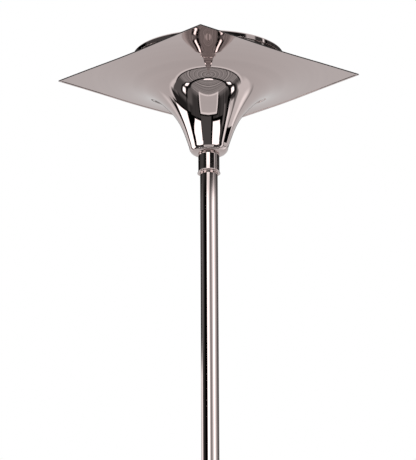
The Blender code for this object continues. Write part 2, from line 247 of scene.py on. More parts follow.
# %% The dark room and the far sweep
WHITE, BLACK = 300.0, 9.0
SWEEP_TILT, SWEEP_GREY, SWEEP_FADE = 0.27, 175.0, 0.12
SWEEP_RIM, SWEEP_SHADOW = 200.0, 12.0
ground = noise_along(elevation, 0.8, 44.0, 164.0)
walls = noise_along(azimuth, 0.12, 22.0, 74.0)
grey = blend(room, step_between(room, elevation, -54.0, -64.0), walls, ground)
grey = hang(grey, 88.0, -122, -60, -64, -40, edge=8, soft=5)
sweep_depth = calculate(room, "MULTIPLY_ADD", up, SWEEP_TILT, far)
grey = blend(room, step_between(room, sweep_depth, -0.035, -0.02), grey, SWEEP_SHADOW)
grey = blend(room, step_between(room, sweep_depth, -0.006, 0.006), grey, SWEEP_RIM)
below = calculate(room, "MINIMUM", elevation, 0.0)
sweep_grey = calculate(room, "MULTIPLY_ADD", below, SWEEP_FADE, SWEEP_GREY)
grey = blend(room, step_between(room, sweep_depth, 0.03, 0.07), grey, sweep_grey)

# %% The left bank of panels
grey = hang(grey, 205.0, -122, -110, -60, -28, edge=5, soft=8)
grey = hang(grey, 80.0, -112, -88, -62, -40, edge=1.5, soft=4, lean=-0.1)
grey = hang(grey, 38.0, -116, -84, -44, -24, edge=2, soft=5, lean=0.25)
grey = hang(grey, 205.0, -144, -128, -24, 12, edge=8, soft=5)
grey = hang(grey, BLACK, -129, -119, -27, 12, edge=2, soft=4)
grey = hang(grey, BLACK, -121, -72, -31, 12, edge=2)
grey = hang(grey, WHITE, -120.5, -87.5, -28.5, 12, edge=3, soft=1.5)

# %% The right bank of panels
grey = hang(grey, 195.0, 97, 128, -58, 6, edge=4, soft=8)
grey = hang(grey, 235.0, 114, 128, -38, 6, edge=5, soft=8)
grey = hang(grey, 125.0, 128, 133, -40, 12, edge=2.5, soft=12)
grey = hang(grey, 190.0, 84, 96, -44, 12, edge=2, soft=3)
grey = hang(grey, 112.0, 93, 100, -48, 12, edge=2, soft=3, lean=-0.1)
grey = hang(grey, 240.0, 79.5, 89, -46, 12, edge=1.5, soft=2, lean=0.1)
grey = hang(grey, BLACK, 71.5, 80.5, -52, 12, edge=1.5, soft=3, lean=-0.08)
grey = hang(grey, 105.0, 63, 70, -46, -15, edge=2, soft=3, lean=0.05)
grey = hang(grey, BLACK, 92, 122, -7.5, -0.5, edge=2, tilt=0.22)

# %% Two tall windows and the gap between them
grey = hang(grey, 72.0, -34, 20, -33, 12)
grey = hang(grey, BLACK, 11, 21, -33, 12, edge=2)
grey = hang(grey, BLACK, -76, -32, -28, 12, edge=2)
grey = hang(grey, WHITE, -61, -34.5, -25.5, 3)
grey = hang(grey, WHITE, -68, -45, -23.5, -11, soft=0.5, lean=-1.2)
grey = hang(grey, WHITE, -74, -31.5, -12, 5, edge=1.5, soft=0.5)
grey = hang(grey, BLACK, 18, 62, -29, 12, edge=2)
grey = hang(grey, WHITE, 19.5, 51, -25.5, 3, tilt=0.03)
grey = hang(grey, WHITE, 40, 56, -23.5, -11, soft=0.5, lean=0.92)
grey = hang(grey, WHITE, 19.5, 62, -12, 5, edge=1.5, soft=0.5)

# %% The low screen, with its dark gap and its bright rim
layers = ((BLACK, 4.0, -60, -31.5), (215.0, 0.0, -63.5, -33.5), (170.0, -4.5, -62, -36.5))
for value, spread, low_end, high_end in layers:
    grey = hang(grey, value, -37.5 - spread, 4, low_end, high_end, lean=0.28)
    grey = hang(grey, value, -4, 38.5 + spread, low_end, high_end, lean=-0.24)

# %% Four small lights near the ground
for side, low_end in ((-1, -65.0), (1, -66.5)):
    for value, grown in ((BLACK, 2.0), (330.0, 0.0)):
        ends = sorted((side * (81.8 - 2 * grown), side * (92.5 + 1.7 * grown)))
        grey = hang(grey, value, *ends, -57 - grown, -48.5 + grown, edge=3, soft=2.5)
        ends = sorted((side * (72.5 - 1.7 * grown), side * (89 + 1.5 * grown)))
        ends += [low_end - 0.8 * grown, low_end + 6.5 + grown]
        grey = hang(grey, value, *ends, edge=3, soft=2, tilt=side * 0.3)

# %% A dark kerb on the ground and a light on it
kerb_place = calculate(room, "DIVIDE", far, calculate(room, "MINIMUM", up, -0.5))
turned_away = calculate(room, "ABSOLUTE", azimuth)
for value, place_on_ground, reach, outer, inner in (
    (18.0, 0.125, 0.030, 88.0, 20.0),
    (14.0, 0.105, 0.020, 34.0, None),
    (320.0, 0.158, 0.016, 36.0, None),
):
    away = calculate(room, "ABSOLUTE", calculate(room, "SUBTRACT", kerb_place, place_on_ground))
    mask = step_between(room, away, reach, reach * 0.6)
    mask = calculate(room, "MULTIPLY", mask, step_between(room, turned_away, outer, outer - 8.0))
    if inner:
        mask = calculate(room, "MULTIPLY", mask, step_between(room, turned_away, inner, inner + 14.0))
    grey = blend(room, mask, grey, value)


# %% [markdown]
# The sheet reflects itself near its corners. A light path that has already met the steel once is shown
# other surroundings than one that has not. No real room does that: it is a trick of this world, which
# stands in for two bright streaks, and an exported model doesn't carry it.

# %% What a second reflection sees
FIRST_REFLECTION, SECOND_REFLECTION = 2.4, 2.6
ray_depth = node(room, "LightPath").outputs["Ray Depth"]
once_more = step_between(room, ray_depth, FIRST_REFLECTION, SECOND_REFLECTION)
ripples = noise_along(elevation, 0.6, 54.0, 150.0)
twice = blend(room, step_between(room, turned_away, 152.0, 134.0), 185.0, ripples)
twice = blend(room, step_between(room, elevation, -38.0, -44.0), grey, twice)
streaks = ((BLACK, 82, 126, -75, -60), (380.0, 88, 123, -70, -64.5))
for side in (-1, 1):
    for value, inner_end, outer_end, low_end, high_end in streaks:
        ends = sorted((side * inner_end, side * outer_end))
        twice = hang(twice, value, *ends, low_end, high_end, edge=3, soft=1.5)
grey = blend(room, once_more, grey, twice)


# %% What stands above the horizon
def stand(grey_so_far, grey, left, right_end, bottom=11.0, top=90.0):
    """A tall panel that upright surfaces see."""
    return hang(grey_so_far, grey, left, right_end, bottom, top + 1, edge=3, soft=0.7)


for value, left, right_end in (
    (95.0, -200, 200),
    (25.0, -152, -122),
    (92.0, -126, -82),
    (40.0, -84, -66),
    (0.0, -68, -31),
    (WHITE, -32, -1),
    (205.0, -3, 9),
    (132.0, 7, 30),
    (205.0, 27, 42),
    (WHITE, 41, 72),
    (226.0, 71, 86),
    (155.0, 85, 106),
    (85.0, 105, 140),
):
    grey = stand(grey, value, left, right_end)
for value, left, right_end in ((235.0, -150, -103), (50.0, -103, -82)):
    grey = stand(grey, value, left, right_end, top=14.0)

# %% What the ferrule and the tank see, higher up
HIGHER, CEILING_GREY = 17.55, 200.0
grey = stand(grey, noise_along(azimuth, 0.35, 10.0, 84.0), -200, 200, HIGHER)
for value, left, right_end in (
    (BLACK, -136, -110),
    (66.0, -110, -58),
    (33.0, -58, -27),
    (WHITE, -27, 12),
    (30.0, 11, 58),
    (170.0, 58, 78),
    (60.0, 78, 90),
    (230.0, 90, 97),
    (BLACK, 97, 103),
):
    grey = stand(grey, value, left, right_end, HIGHER)
grey = blend(room, step_between(room, elevation, 21.0, 36.0), grey, CEILING_GREY)

# %% Turn the greys into light
share = calculate(room, "DIVIDE", grey, 255.0)
light = calculate(room, "DIVIDE", calculate(room, "POWER", share, 2.2), STEEL_RED)
seen = node(room, "LightPath").outputs["Is Camera Ray"]
light = blend(room, seen, light, 1.0)
backdrop = node(room, "Background", Color=(1, 1, 1, 1), Strength=light)
output = node(room, "OutputWorld")
room.links.new(backdrop.outputs[0], output.inputs["Surface"])
print("the room has", len(room.nodes), "nodes")

# %% [markdown]
# ## Floor and lights
#
# The floor is a pale sheet at the spike's point, far larger than any view of the torch. Pieces that aren't
# mirrors need light of their own: two large soft lamps give it. Lamps and floor are kept out of
# reflections, because the painted room already has its own.

# %% Floor and lamps
FLOOR_SIZE, FLOOR_GAP = 80, 0.002
floor_height = cad_box[0].z
bpy.ops.object.select_all(action="DESELECT")
bpy.ops.mesh.primitive_plane_add(size=FLOOR_SIZE, location=(0, 0, floor_height - FLOOR_GAP))
floor = bpy.context.object
floor.name = "floor"
floor.visible_glossy = False
pale = bpy.data.materials.new("pale floor")
pale.use_nodes = True
pale.node_tree.nodes["Principled BSDF"].inputs["Base Color"].default_value = (0.86, 0.86, 0.86, 1)
pale.node_tree.nodes["Principled BSDF"].inputs["Roughness"].default_value = 0.9
floor.data.materials.append(pale)


def lamp(name, place_at, size, watts):
    made = bpy.data.objects.new(name, bpy.data.lights.new(name, "AREA"))
    scene.collection.objects.link(made)
    made.data.size = size
    made.data.energy = watts
    made.location = place_at
    made.rotation_mode = "QUATERNION"
    made.rotation_quaternion = (aim - Vector(place_at)).to_track_quat("-Z", "Y")
    made.visible_glossy = False
    made.visible_camera = False


lamp("lamp left", (-3.5, -1.0, 3.2), 2.5, 90)
lamp("lamp right", (3.0, -2.0, 3.8), 2.5, 70)
lamp("lamp behind", (1.0, 4.0, 3.0), 2.5, 60)

# %% [markdown]
# ## The finishes
#
# Effects that several finishes share are node groups. Polishing leaves marks that run one way: round a spun
# or turned piece, and along a drawn tube. Handling leaves faint patches that are a little duller. Edges
# that are touched wear brighter. Dust settles on what faces up. Each group gives only numbers that change
# over the surface, and each material decides what they do.

# %% Where a point is on a round piece
ORIGIN = (0.0, 0.0, 0.0)
lathe_place, given, result = new_group("lathe position", {"Position": ORIGIN}, ["Radius", "Angle", "Height"])
split = node(lathe_place, "SeparateXYZ", Vector=given["Position"]).outputs
squares = [calculate(lathe_place, "MULTIPLY", split[axis], split[axis]) for axis in "XY"]
feed(lathe_place, result["Radius"], calculate(lathe_place, "SQRT", calculate(lathe_place, "ADD", *squares)))
feed(lathe_place, result["Angle"], calculate(lathe_place, "ARCTAN2", split["Y"], split["X"]))
feed(lathe_place, result["Height"], split["Z"])

# %% Polishing marks, handling marks, worn edges and dust
marks_inputs = {"Across": 0.0, "Along": 0.0, "Fineness": 3000.0, "Length": 8.0}
polishing, given, result = new_group("polishing marks", marks_inputs, ["Marks", "Bands"])
across = calculate(polishing, "MULTIPLY", given["Across"], given["Fineness"])
along = calculate(polishing, "MULTIPLY", given["Along"], given["Length"])
spread = node(polishing, "CombineXYZ", X=across, Y=along).outputs[0]
fine = node(polishing, "TexNoise", Vector=spread, Scale=1.0, Detail=4.0, Roughness=0.65)
feed(polishing, result["Marks"], fine.outputs[0])
broad = calculate(polishing, "MULTIPLY", across, 0.06)
bands = node(polishing, "TexNoise", noise_dimensions="1D", W=broad, Scale=1.0, Detail=2.0)
feed(polishing, result["Bands"], bands.outputs[0])

handling_inputs = {"Position": ORIGIN, "Scale": 14.0}
handling, given, result = new_group("handling marks", handling_inputs, ["Smudge", "Speck"])
place_on_piece, patch_scale = given["Position"], given["Scale"]
patches = node(handling, "TexNoise", Vector=place_on_piece, Scale=patch_scale, Detail=5.0, Distortion=0.4)
feed(handling, result["Smudge"], step_between(handling, patches.outputs[0], 0.45, 0.75))
dots = node(handling, "TexNoise", Vector=given["Position"], Scale=900.0, Detail=2.0)
feed(handling, result["Speck"], step_between(handling, dots.outputs[0], 0.66, 0.74))

edge_wear, given, result = new_group("worn edges", {"Radius": 0.0006, "Breakup": 600.0}, ["Wear"])
rounded = node(edge_wear, "Bevel", samples=6, Radius=given["Radius"]).outputs[0]
facing = node(edge_wear, "NewGeometry").outputs["Normal"]
match = node(edge_wear, "VectorMath", operation="DOT_PRODUCT")
feed(edge_wear, match.inputs[0], rounded)
feed(edge_wear, match.inputs[1], facing)
edge = step_between(edge_wear, match.outputs["Value"], 0.995, 0.90)
position = node(edge_wear, "TexCoord").outputs["Object"]
chips = node(edge_wear, "TexNoise", Vector=position, Scale=given["Breakup"], Detail=3.0).outputs[0]
broken = step_between(edge_wear, chips, 0.35, 0.65)
feed(edge_wear, result["Wear"], calculate(edge_wear, "MULTIPLY", edge, broken))

settled_dust, given, result = new_group("settled dust", {"Amount": 0.3}, ["Dust"])
coordinates = node(settled_dust, "TexCoord").outputs
upward = node(settled_dust, "SeparateXYZ", Vector=coordinates["Normal"]).outputs["Z"]
grains = node(settled_dust, "TexNoise", Vector=coordinates["Object"], Scale=420.0, Detail=6.0).outputs[0]
lying = calculate(settled_dust, "MULTIPLY", step_between(settled_dust, upward, 0.5, 1.0), grains)
feed(settled_dust, result["Dust"], calculate(settled_dust, "MULTIPLY", lying, given["Amount"], clamp=True))
print("node groups:", [group.name for group in bpy.data.node_groups])

# %% A new material, and mixing colours
def new_finish(name, **settings):
    """A material, its tree, its shader's sockets and object coordinates. Settings name plain values."""
    made = bpy.data.materials.new(name)
    made.use_nodes = True
    shader = made.node_tree.nodes["Principled BSDF"]
    for label, value in settings.items():
        shader.inputs[label.replace("_", " ")].default_value = value
    return made, made.node_tree, shader.inputs, node(made.node_tree, "TexCoord").outputs["Object"]


def tint(tree, share, first, second):
    """Mixes two colours, each given as red, green and blue or as a socket."""
    made = node(tree, "Mix", data_type="RGBA")
    feed(tree, made.inputs[0], share)
    for socket, colour in ((made.inputs[6], first), (made.inputs[7], second)):
        feed(tree, socket, (*colour, 1.0) if isinstance(colour, tuple) else colour)
    return made.outputs[2]


def raised(tree, height, distance, strength=1.0):
    return node(tree, "Bump", Height=height, Distance=distance, Strength=strength).outputs["Normal"]


# %% [markdown]
# Mirror steel is nearly white metal with almost no roughness. Its warm pink cast is painted reflection
# colour:
# the tint of the room that it reflects. The marks on it are so faint that they show only where a reflection
# is stretched, as in the trumpet's throat. The same recipe serves the spun canopy, whose marks run round it,
# and the drawn tubes, whose marks run along them.


# %% Mirror steel
def mirror_steel(name, run, depth, smear):
    made, tree, sockets, position = new_finish(name, Metallic=1.0)
    lathe = place(tree, lathe_place, Position=position)
    if run == "round":
        across, along = calculate(tree, "ADD", lathe["Radius"], lathe["Height"]), lathe["Angle"]
        marks = place(tree, polishing, Across=across, Along=along, Fineness=900.0, Length=1.5)
    else:
        across, along = lathe["Angle"], lathe["Height"]
        marks = place(tree, polishing, Across=across, Along=along, Fineness=60.0, Length=14.0)
    touched = place(tree, handling, Position=position)
    # The warm pink cast of this colour is painted reflection colour, the tint of the room that the steel
    # reflects.
    bright = (STEEL_RED, STEEL_GREEN, STEEL_BLUE)
    dull = tuple(value * 0.93 for value in bright)
    feed(tree, sockets["Base Color"], tint(tree, marks["Bands"], dull, bright))
    rough = calculate(tree, "MULTIPLY_ADD", touched["Smudge"], smear, 0.015)
    feed(tree, sockets["Roughness"], calculate(tree, "MULTIPLY_ADD", marks["Marks"], 0.02, rough))
    feed(tree, sockets["Normal"], raised(tree, marks["Marks"], depth))
    return made


spun_mirror = mirror_steel("spun mirror steel", "round", depth=0.0000012, smear=0.03)
drawn_mirror = mirror_steel("drawn mirror steel", "along", depth=0.000001, smear=0.03)


# %% Where the sheet was trimmed, painted near black as shade
sheared_painted_dark, tree, sockets, position = new_finish("sheared edge", Metallic=0.4)
# The near-black colour is painted shade: it makes the dark line along the sheet's edge, and the torn noise
# varies it.
torn = node(tree, "TexNoise", Vector=position, Scale=900.0, Detail=4.0).outputs[0]
torn = step_between(tree, torn, 0.35, 0.7)
feed(tree, sockets["Base Color"], tint(tree, torn, (0.010, 0.009, 0.009), (0.040, 0.036, 0.035)))
feed(tree, sockets["Roughness"], calculate(tree, "MULTIPLY_ADD", torn, 0.2, 0.45))
feed(tree, sockets["Normal"], raised(tree, torn, 0.00004))

# %% [markdown]
# The tank is the same steel with less polish. Its colour is painted dark, standing in for the dark room that
# it reflects, and the streaks in its colour are painted reflections; faint wipe marks run down it in its
# roughness and bumps. The small fittings are satin steel, with lathe marks, worn edges and a little dust on
# what faces up.

# %% Tank steel, its colour painted dark with painted reflections
tank_steel_painted_dark, tree, sockets, position = new_finish("wiped tank steel", Metallic=1.0)
lathe = place(tree, lathe_place, Position=position)
wipes_and_painted_streaks = place(tree, polishing, Across=lathe["Angle"], Along=lathe["Height"], Fineness=26.0, Length=9.0)
touched = place(tree, handling, Position=position, Scale=20.0)
# Both colours are painted light: the dark stands in for the dark room that the tank reflects, and the streaks
# between them are painted reflections.
feed(tree, sockets["Base Color"], tint(tree, wipes_and_painted_streaks["Marks"], (0.20, 0.172, 0.165), (0.40, 0.345, 0.335)))
rough = calculate(tree, "MULTIPLY_ADD", touched["Smudge"], 0.08, 0.05)
feed(tree, sockets["Roughness"], calculate(tree, "MULTIPLY_ADD", wipes_and_painted_streaks["Marks"], 0.06, rough))
feed(tree, sockets["Normal"], raised(tree, wipes_and_painted_streaks["Marks"], 0.000004))

# %% Satin steel
satin, tree, sockets, position = new_finish("satin steel", Metallic=1.0)
lathe = place(tree, lathe_place, Position=position)
across = calculate(tree, "ADD", lathe["Radius"], lathe["Height"])
turning = place(tree, polishing, Across=across, Along=lathe["Angle"], Fineness=7000.0, Length=3.0)
worn = place(tree, edge_wear, Radius=0.0004, Breakup=500.0)["Wear"]
dust = place(tree, settled_dust, Amount=0.35)["Dust"]
plain = tint(tree, turning["Bands"], (0.40, 0.39, 0.38), (0.52, 0.51, 0.50))
plain = tint(tree, worn, plain, (0.72, 0.70, 0.69))
feed(tree, sockets["Base Color"], tint(tree, dust, plain, (0.33, 0.31, 0.28)))
rough = calculate(tree, "MULTIPLY_ADD", turning["Marks"], 0.16, 0.18)
rough = calculate(tree, "MULTIPLY_ADD", worn, -0.10, rough)
feed(tree, sockets["Roughness"], calculate(tree, "ADD", rough, dust))
feed(tree, sockets["Normal"], raised(tree, turning["Marks"], 0.00001))

# %% [markdown]
# Nylon grips and caps are black with the fine grain of their mould. Rubber is duller and dusty. The wick is
# braided glass fibre, cream where it is clean and charred where it burns.

# %% Black nylon
nylon, tree, sockets, position = new_finish("moulded nylon", IOR=1.53)
grain = node(tree, "TexNoise", Vector=position, Scale=2600.0, Detail=3.0).outputs[0]
touched = place(tree, handling, Position=position, Scale=90.0)
worn = place(tree, edge_wear, Radius=0.0007, Breakup=900.0)["Wear"]
black = tint(tree, touched["Smudge"], (0.018, 0.018, 0.019), (0.030, 0.030, 0.031))
feed(tree, sockets["Base Color"], tint(tree, worn, black, (0.085, 0.083, 0.080)))
rough = calculate(tree, "MULTIPLY_ADD", grain, 0.18, 0.30)
feed(tree, sockets["Roughness"], calculate(tree, "MULTIPLY_ADD", touched["Smudge"], -0.08, rough))
feed(tree, sockets["Normal"], raised(tree, grain, 0.00004))

# %% Black rubber
rubber, tree, sockets, position = new_finish("moulded rubber", Specular_IOR_Level=0.35)
grain = node(tree, "TexNoise", Vector=position, Scale=1500.0, Detail=5.0).outputs[0]
dust = place(tree, settled_dust, Amount=0.45)["Dust"]
specks = place(tree, handling, Position=position)["Speck"]
black = tint(tree, grain, (0.012, 0.012, 0.012), (0.028, 0.027, 0.026))
black = tint(tree, specks, black, (0.10, 0.095, 0.085))
feed(tree, sockets["Base Color"], tint(tree, dust, black, (0.22, 0.20, 0.17)))
feed(tree, sockets["Roughness"], calculate(tree, "MULTIPLY_ADD", grain, 0.25, 0.55))
feed(tree, sockets["Normal"], raised(tree, grain, 0.00006))

# %% Glass fibre, charred at its tip
wick_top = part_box("wick")[1].z
fibre, tree, sockets, position = new_finish("braided glass fibre", Sheen_Weight=0.25)
lathe = place(tree, lathe_place, Position=position)
yarn = node(tree, "TexNoise", Vector=position, Scale=1800.0, Detail=4.0).outputs[0]
patches = node(tree, "TexNoise", Vector=position, Scale=260.0, Detail=4.0).outputs[0]
height = calculate(tree, "MULTIPLY_ADD", patches, 0.006, lathe["Height"])
char = step_between(tree, height, wick_top - 0.006, wick_top + 0.001)
scorch = step_between(tree, height, wick_top - 0.013, wick_top - 0.003)
cream = tint(tree, yarn, (0.60, 0.55, 0.44), (0.84, 0.80, 0.71))
scorched = tint(tree, scorch, cream, (0.20, 0.12, 0.06))
feed(tree, sockets["Base Color"], tint(tree, char, scorched, (0.010, 0.009, 0.008)))
feed(tree, sockets["Roughness"], calculate(tree, "MULTIPLY_ADD", yarn, 0.2, 0.75))
feed(tree, sockets["Normal"], raised(tree, yarn, 0.0001))


# %% Dressing a piece
def dress(piece, material, slot, *stands_for):
    """Gives a finished piece its material, and lets it ride on the body of the pieces that it stands for."""
    piece.data.materials.clear()
    piece.data.materials.append(material)
    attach(piece, frame["nodes"][stands_for[0]]["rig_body"])
    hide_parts(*stands_for)
    low, high = (Vector(f(point[axis] for point in piece.bound_box) for axis in range(3)) for f in (min, max))
    print(f"{piece.name}: {len(piece.data.polygons)} faces, z {low.z:.4f} to {high.z:.4f}, x to {high.x:.4f}")


# %% [markdown]
# ## The helpers for modelling
#
# Nearly every piece was turned, spun or drawn from round stock. By hand one would add a circle, extrude it
# and scale each new ring. `turned` does the same along an outline of (radius, height) points. The list can
# start or end on the axis, which closes that end with a pole, or come back to its start, which makes a
# closed tube.


# %% Selecting and finishing
def start_clean():
    bpy.ops.object.select_all(action="DESELECT")


def edit(piece):
    start_clean()
    bpy.context.view_layer.objects.active = piece
    piece.select_set(True)
    bpy.ops.object.mode_set(mode="EDIT")


def leave_edit():
    bpy.ops.object.mode_set(mode="OBJECT")


def pick(piece, wanted, kind="VERT"):
    """Selects the vertices, edges or faces of a piece in edit mode that a test wants."""
    bpy.ops.mesh.select_mode(type=kind)
    bpy.ops.mesh.select_all(action="DESELECT")
    mesh = bmesh.from_edit_mesh(piece.data)
    for part in {"VERT": mesh.verts, "EDGE": mesh.edges, "FACE": mesh.faces}[kind]:
        part.select_set(bool(wanted(part)))
    mesh.select_flush_mode()
    bmesh.update_edit_mesh(piece.data)


def apply(piece, modifier):
    bpy.context.view_layer.objects.active = piece
    bpy.ops.object.modifier_apply(modifier=modifier.name)


def soften(piece, width, segments=2, angle=30):
    """Rounds every edge sharper than the angle."""
    modifier = piece.modifiers.new("round", "BEVEL")
    modifier.width = width
    modifier.segments = segments
    modifier.limit_method = "ANGLE"
    modifier.angle_limit = math.radians(angle)
    modifier.harden_normals = False
    apply(piece, modifier)


def shade(piece, angle=40):
    start_clean()
    piece.select_set(True)
    bpy.context.view_layer.objects.active = piece
    bpy.ops.object.shade_smooth_by_angle(angle=math.radians(angle))
    even = piece.modifiers.new("even", "WEIGHTED_NORMAL")
    even.keep_sharp = True
    apply(piece, even)


# %% Turning a piece on the lathe
def turned(name, outline, sides=96):
    """A round piece about the Z axis, extruded ring by ring along its outline."""
    start_clean()
    closed = outline[0] == outline[-1]
    if outline[0][0] == 0:
        pole_height = outline[0][1]
        outline = outline[1:]
        fill = "TRIFAN"
    else:
        pole_height = None
        fill = "NOTHING"
    radius, height = outline[0]
    bpy.ops.mesh.primitive_circle_add(vertices=sides, radius=radius, fill_type=fill, location=(0, 0, 0))
    piece = bpy.context.object
    piece.name = name
    piece.data.name = name
    bpy.ops.object.mode_set(mode="EDIT")
    bpy.ops.mesh.select_all(action="SELECT")
    bpy.ops.transform.translate(value=(0, 0, height))
    if pole_height is not None:
        pick(piece, lambda vert: vert.co.xy.length < radius / 2)
        bpy.ops.transform.translate(value=(0, 0, pole_height - height))
        pick(piece, lambda vert: vert.co.xy.length > radius / 2)
    for next_radius, next_height in outline[1:]:
        bpy.ops.mesh.extrude_edges_move(TRANSFORM_OT_translate={"value": (0, 0, next_height - height)})
        if next_radius == 0:
            bpy.ops.mesh.merge(type="CENTER")
        elif next_radius != radius:
            scale = next_radius / radius
            bpy.ops.transform.resize(value=(scale, scale, 1), center_override=(0, 0, next_height))
        radius, height = next_radius, next_height
    bpy.ops.mesh.select_all(action="SELECT")
    if closed:
        bpy.ops.mesh.remove_doubles(threshold=2e-6)
    bpy.ops.mesh.normals_make_consistent(inside=False)
    leave_edit()
    return piece


def lay(piece, angle, axis):
    """Turns a piece about the world's axis, in its mesh. With no window the operator turns backwards."""
    edit(piece)
    bpy.ops.mesh.select_all(action="SELECT")
    bpy.ops.transform.rotate(value=-math.radians(angle), orient_axis=axis, center_override=(0, 0, 0))
    leave_edit()


def move(piece, offset):
    edit(piece)
    bpy.ops.mesh.select_all(action="SELECT")
    bpy.ops.transform.translate(value=tuple(offset))
    leave_edit()


def cut(piece, cutter, operation="DIFFERENCE"):
    """Cuts one piece with another, which is then thrown away."""
    modifier = piece.modifiers.new("cut", "BOOLEAN")
    modifier.object = cutter
    modifier.operation = operation
    modifier.solver = "EXACT"
    apply(piece, modifier)
    bpy.data.objects.remove(cutter, do_unlink=True)


def drill(piece, radius, length, centre, turn_axis=None, turn_angle=90):
    """A round hole through a piece. Its drill stands along Z unless it is turned."""
    half = length / 2
    drill_bit = turned("drill", [(0, -half), (radius, -half), (radius, half), (0, half)], sides=32)
    if turn_axis:
        lay(drill_bit, turn_angle, turn_axis)
    move(drill_bit, centre)
    cut(piece, drill_bit)


def finish_off(piece, material, slot, node_name, width, segments=2, angle=30, smooth=40):
    """Rounds a piece's edges, shades it and dresses it."""
    soften(piece, width, segments, angle)
    shade(piece, smooth)
    dress(piece, material, slot, node_name)


# %% [markdown]
# ## Outlines
#
# A mirror shows every kink in a curve, so the long curves are natural cubic splines, whose bend changes
# smoothly all the way. Corners are short arcs. An outline that is moved sideways gives a sheet its wall.


# %% Curves for the outlines
def spline(stations, count):
    """A natural cubic spline through stations, read at evenly spaced places along it."""
    points = np.array(stations, float)
    steps = np.hypot(*np.diff(points, axis=0).T)
    places = np.concatenate([[0], np.cumsum(steps)])
    size = len(points)
    matrix = np.eye(size)
    target = np.zeros((size, 2))
    for i in range(1, size - 1):
        before, after = steps[i - 1], steps[i]
        matrix[i, i - 1 : i + 2] = before, 2 * (before + after), after
        slopes = (points[i + 1] - points[i]) / after - (points[i] - points[i - 1]) / before
        target[i] = 6 * slopes
    bend = np.linalg.solve(matrix, target)
    curve = []
    for place in np.linspace(0, places[-1], count):
        i = min(np.searchsorted(places, place, side="right") - 1, size - 2)
        step = steps[i]
        ahead, behind = place - places[i], places[i + 1] - place
        point = (bend[i] * behind**3 + bend[i + 1] * ahead**3) / (6 * step)
        point += (points[i] / step - bend[i] * step / 6) * behind
        point += (points[i + 1] / step - bend[i + 1] * step / 6) * ahead
        curve.append((float(point[0]), float(point[1])))
    return curve


def arc(centre, radius, start, end, steps=6):
    angles = np.radians(np.linspace(start, end, steps + 1))
    return [(centre[0] + radius * math.cos(a), centre[1] + radius * math.sin(a)) for a in angles]


def beside(points, distance):
    """The same curve moved sideways, to the right of its direction of travel."""
    moved = []
    for index, point in enumerate(points):
        before = Vector(points[max(index - 1, 0)])
        after = Vector(points[min(index + 1, len(points) - 1)])
        along = (after - before).normalized()
        moved.append((point[0] + along.y * distance, point[1] - along.x * distance))
    return moved


# %% [markdown]
# ## The canopy
#
# The canopy is one sheet, spun over a former into a trumpet and then trimmed square. Its stations, as
# radius and depth below the corners, are the working model's own, so that the fine surface goes through it.
# The foot turns in under itself to a flat seat for the ferrule. Four bisections trim it and four more mark
# a narrow hem. Solidify gives the sheet its thickness upwards, and the hem is then drawn down a little. The
# trimmed edge and the hem's step are painted dark, as painted shade for the dark line along the sheet's edge.

# %% Where things are
POLE_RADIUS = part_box("pole_upper")[1].x
SHEET = 0.0012
corner_plane = canopy_high.z - SHEET
half_side = canopy_high.x - 0.0001
foot_plane = canopy_low.z
BOLT_HOLE = 0.0056
print("corners at", round(corner_plane, 4), "foot at", round(foot_plane, 4), "half side", round(half_side, 4))

# %% The canopy's sheet
FLARE = (
    (0.2260, -0.0001),
    (0.1870, 0.00045),
    (0.1550, 0.00185),
    (0.1220, 0.0070),
    (0.1000, 0.0142),
    (0.0790, 0.0266),
    (0.0620, 0.0425),
    (0.0470, 0.0615),
    (0.0372, 0.0810),
    (0.0310, 0.0985),
    (0.0283, 0.1068),
)
FOOT_ROUND = 0.0105
HEM_WIDTH, HEM_DEPTH = 0.0030, 0.0006


def face_down(piece):
    """Makes an open surface's outermost faces point down."""
    outermost = max(piece.data.polygons, key=lambda face: face.center.xy.length)
    if outermost.normal.z > 0:
        edit(piece)
        bpy.ops.mesh.select_all(action="SELECT")
        bpy.ops.mesh.flip_normals()
        leave_edit()


def in_the_hem(face):
    """The lower faces along the trimmed edge."""
    middle = face.calc_center_median()
    return face.normal.z < -0.5 and max(abs(middle.x), abs(middle.y)) > half_side - HEM_WIDTH


underside = spline([(radius, corner_plane - depth) for radius, depth in FLARE], 64)
foot_radius, foot_start = underside[-1]
underside += arc((foot_radius - FOOT_ROUND, foot_start), FOOT_ROUND, 0, -90, 10)[1:]
underside += [(0.0120, foot_plane), (BOLT_HOLE, foot_plane)]
canopy = turned("trumpet_canopy", underside, sides=192)
for side in ((1, 0, 0), (-1, 0, 0), (0, 1, 0), (0, -1, 0)):
    edit(canopy)
    bpy.ops.mesh.select_all(action="SELECT")
    bpy.ops.mesh.bisect(plane_co=Vector(side) * half_side, plane_no=side, clear_outer=True)
    bpy.ops.mesh.select_all(action="SELECT")
    bpy.ops.mesh.remove_doubles(threshold=0.0001)
    leave_edit()
for side in ((1, 0, 0), (-1, 0, 0), (0, 1, 0), (0, -1, 0)):
    edit(canopy)
    bpy.ops.mesh.select_all(action="SELECT")
    bpy.ops.mesh.bisect(plane_co=Vector(side) * (half_side - HEM_WIDTH), plane_no=side)
    leave_edit()
face_down(canopy)
wall = canopy.modifiers.new("wall", "SOLIDIFY")
wall.thickness = SHEET
wall.offset = -1
apply(canopy, wall)
edit(canopy)
pick(canopy, in_the_hem, "FACE")
bpy.ops.mesh.extrude_region_move(TRANSFORM_OT_translate={"value": (0, 0, -HEM_DEPTH)})
leave_edit()
soften(canopy, 0.00025, segments=2, angle=50)
shade(canopy, 40)
print("canopy:", len(canopy.data.polygons), "faces, to", [round(v, 4) for v in canopy.dimensions])
dress(canopy, spun_mirror, "polished_steel", "canopy")
canopy.data.materials.append(sheared_painted_dark)
canopy.data.materials.append(tank_steel_painted_dark)
